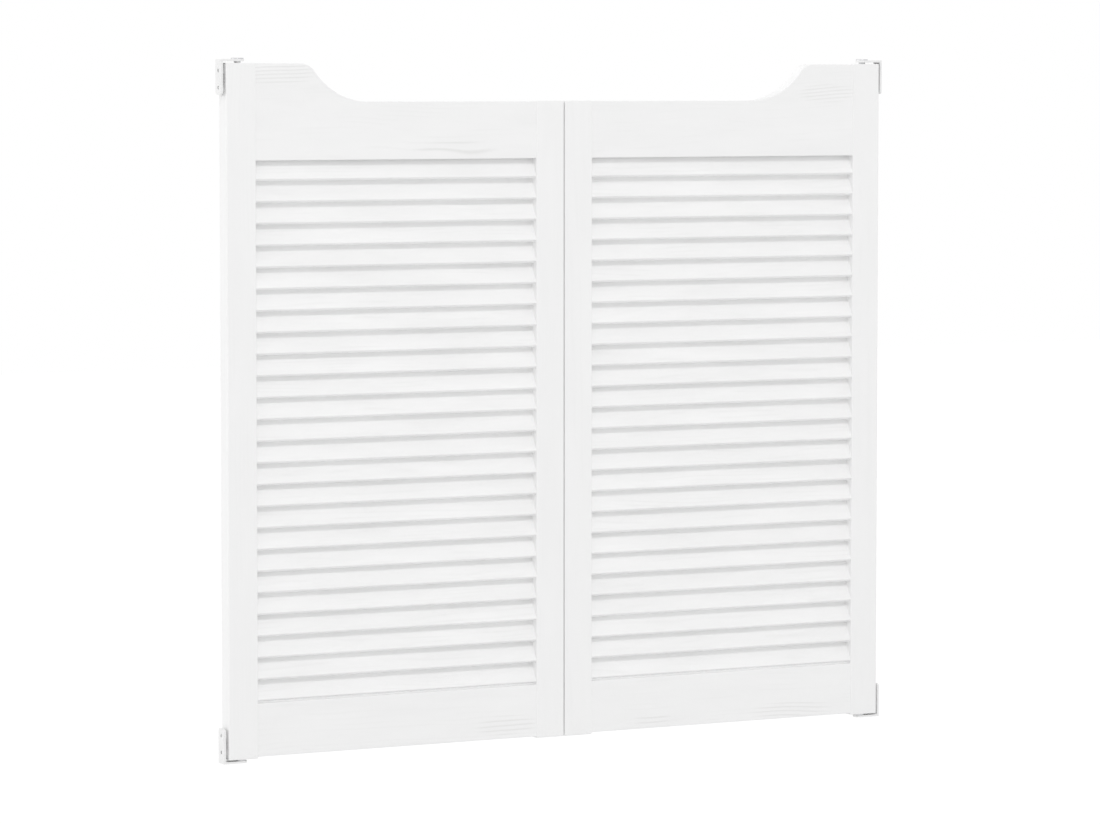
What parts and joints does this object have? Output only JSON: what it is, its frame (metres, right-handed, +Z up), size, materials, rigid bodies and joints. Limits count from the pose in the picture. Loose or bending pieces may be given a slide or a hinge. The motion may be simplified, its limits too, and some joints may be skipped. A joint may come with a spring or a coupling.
{
  "type": "cafe swinging doors",
  "caption": "Pair of white louvred swing leaves with swept top corners, on concealed sprung pivots screwed to the doorway.",
  "frame": {"origin": "midway between the two leaves, at mid thickness, level with the underside of the bottom brackets", "axes": "+X to the right leaf seen from the front, -Y out of the front (the side the slats slope down to), +Z up"},
  "size_m": [0.911, 0.021, 0.8305],
  "materials": {
    "painted_pine": "satin white paint over pine, raised grain showing through",
    "beech": "bare fluted dowel",
    "nylon": "natural nylon",
    "white_steel": "satin white powder coat",
    "plated_steel": "zinc plated, turned",
    "spring_steel": "oiled spring wire"
  },
  "bodies": {
    "doorway_pivots": {"left_bottom_bracket": "white_steel", "left_bottom_pivot_pin": "plated_steel", "left_top_bracket": "white_steel", "left_top_pivot_pin": "plated_steel", "right_bottom_bracket": "white_steel", "right_bottom_pivot_pin": "plated_steel", "right_top_bracket": "white_steel", "right_top_pivot_pin": "plated_steel"},
    "left_leaf": {"left_bottom_bush": "nylon", "left_bottom_rail": "painted_pine", "left_bottom_rail_dowels": "beech", "left_hinge_stile": "painted_pine", "left_meeting_stile": "painted_pine", "left_return_spring": "spring_steel", "left_slats_01_02": "painted_pine", "left_slats_03_04": "painted_pine", "left_slats_05_06": "painted_pine", "left_slats_07_08": "painted_pine", "left_slats_09_10": "painted_pine", "left_slats_11_12": "painted_pine", "left_slats_13_14": "painted_pine", "left_slats_15_16": "painted_pine", "left_slats_17_18": "painted_pine", "left_slats_19_20": "painted_pine", "left_slats_21_22": "painted_pine", "left_slats_23_24": "painted_pine", "left_slats_25": "painted_pine", "left_top_bush": "nylon", "left_top_rail": "painted_pine", "left_top_rail_dowels": "beech"},
    "right_leaf": {"right_bottom_bush": "nylon", "right_bottom_rail": "painted_pine", "right_bottom_rail_dowels": "beech", "right_hinge_stile": "painted_pine", "right_meeting_stile": "painted_pine", "right_return_spring": "spring_steel", "right_slats_01_02": "painted_pine", "right_slats_03_04": "painted_pine", "right_slats_05_06": "painted_pine", "right_slats_07_08": "painted_pine", "right_slats_09_10": "painted_pine", "right_slats_11_12": "painted_pine", "right_slats_13_14": "painted_pine", "right_slats_15_16": "painted_pine", "right_slats_17_18": "painted_pine", "right_slats_19_20": "painted_pine", "right_slats_21_22": "painted_pine", "right_slats_23_24": "painted_pine", "right_slats_25": "painted_pine", "right_top_bush": "nylon", "right_top_rail": "painted_pine", "right_top_rail_dowels": "beech"}
  },
  "joints": [
    {"name": "left_swing", "type": "hinge", "parent": "doorway_pivots", "child": "left_leaf", "pos_m": [-0.431, 0, 0], "axis": [0, 0, 1], "range_deg": [-90, 90], "stiffness_Nm_per_rad": 0.5, "deforming": ["left_return_spring"]},
    {"name": "right_swing", "type": "hinge", "parent": "doorway_pivots", "child": "right_leaf", "pos_m": [0.431, 0, 0], "axis": [0, 0, -1], "range_deg": [-90, 90], "stiffness_Nm_per_rad": 0.5, "deforming": ["right_return_spring"]}
  ]
}
